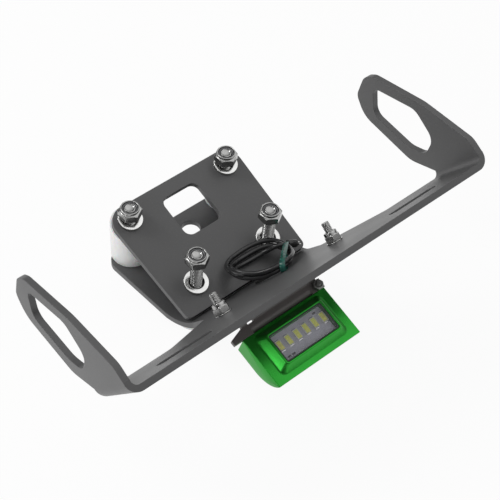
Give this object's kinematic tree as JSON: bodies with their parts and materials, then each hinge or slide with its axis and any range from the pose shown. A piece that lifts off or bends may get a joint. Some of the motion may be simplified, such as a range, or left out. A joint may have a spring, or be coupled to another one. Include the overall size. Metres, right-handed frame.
{
  "type": "motorcycle tail tidy",
  "caption": "Folded number plate bracket with slotted cross bar, bent ears with long openings, a bolted upper plate on spacers and a small wedge-shaped plate lamp on a thin cable.",
  "frame": {"origin": "middle of the four-bolt pattern on the upper face of the foot", "axes": "+Z along the mounting bolts towards their nuts, -Y towards the cross bar, X along the cross bar"},
  "size_m": [0.2026, 0.1132, 0.0843],
  "materials": {
    "dark_coat": "satin fine-textured powder coat",
    "zinc": "bright zinc plate",
    "white_plastic": "turned nylon",
    "ring_plastic": "nylon",
    "lamp_green": "anodised satin",
    "clear_window": "clear",
    "black_rubber": "matt",
    "lamp_board": "solder mask",
    "light_chips": "phosphor resin",
    "cable_sheath": "satin sleeve",
    "tie_plastic": "translucent"
  },
  "bodies": {
    "root": {"bar_nut_left": "zinc", "bar_nut_right": "zinc", "bar_screw_left": "zinc", "bar_screw_right": "zinc", "bar_washer_left": "zinc", "bar_washer_right": "zinc", "bolt_far_left": "zinc", "bolt_far_right": "zinc", "bolt_near_left": "zinc", "bolt_near_right": "zinc", "cable_coil": "cable_sheath", "cable_end": "cable_sheath", "cable_lead": "cable_sheath", "cable_tie": "tie_plastic", "clamp_nut": "zinc", "clamp_screw": "zinc", "grommet": "black_rubber", "lamp_bracket": "dark_coat", "lamp_gasket": "black_rubber", "lamp_housing": "lamp_green", "lamp_lens": "clear_window", "lamp_screws": "zinc", "led_board": "lamp_board", "leds": "light_chips", "main_bracket": "dark_coat", "nut_far_left": "zinc", "nut_far_right": "zinc", "nut_near_left": "zinc", "nut_near_right": "zinc", "nut_ring_far_left": "ring_plastic", "nut_ring_far_right": "ring_plastic", "nut_ring_near_left": "ring_plastic", "nut_ring_near_right": "ring_plastic", "short_spacer_left": "white_plastic", "short_spacer_right": "white_plastic", "tall_spacer_left": "white_plastic", "tall_spacer_right": "white_plastic", "top_plate": "dark_coat", "washer_far_left": "zinc", "washer_far_right": "zinc", "washer_near_left": "zinc", "washer_near_right": "zinc"}
  },
  "joints": []
}
